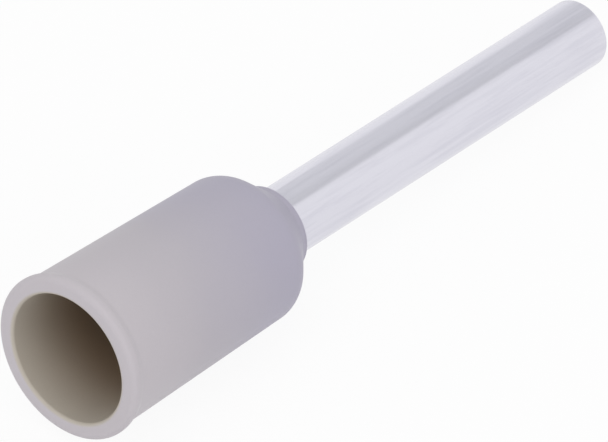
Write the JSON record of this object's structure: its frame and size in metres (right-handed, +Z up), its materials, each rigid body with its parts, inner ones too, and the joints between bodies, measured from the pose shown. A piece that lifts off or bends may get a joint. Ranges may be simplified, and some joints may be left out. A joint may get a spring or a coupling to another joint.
{
  "type": "insulated wire-end ferrule",
  "caption": "Insulated wire-end ferrule: a tapered plastic collar with an open mouth, moulded on a thin metal tube that takes a stripped wire.",
  "frame": {"origin": "on the surface that the ferrule lies on, below the middle of its bounding box", "axes": "+Z up. The ferrule lies along X with its mouth towards -X and the tube's tip towards +X; its own axis tips down by 4.44 degrees towards the tip"},
  "size_m": [0.0164, 0.0036, 0.0038],
  "materials": {
    "collar": "light grey moulded plastic, satin outside; tan to brown shade inside the mouth",
    "tube": "satin tinned copper with faint drawing marks along the tube"
  },
  "bodies": {
    "root": {"collar": "collar", "tube": "tube"}
  },
  "joints": []
}
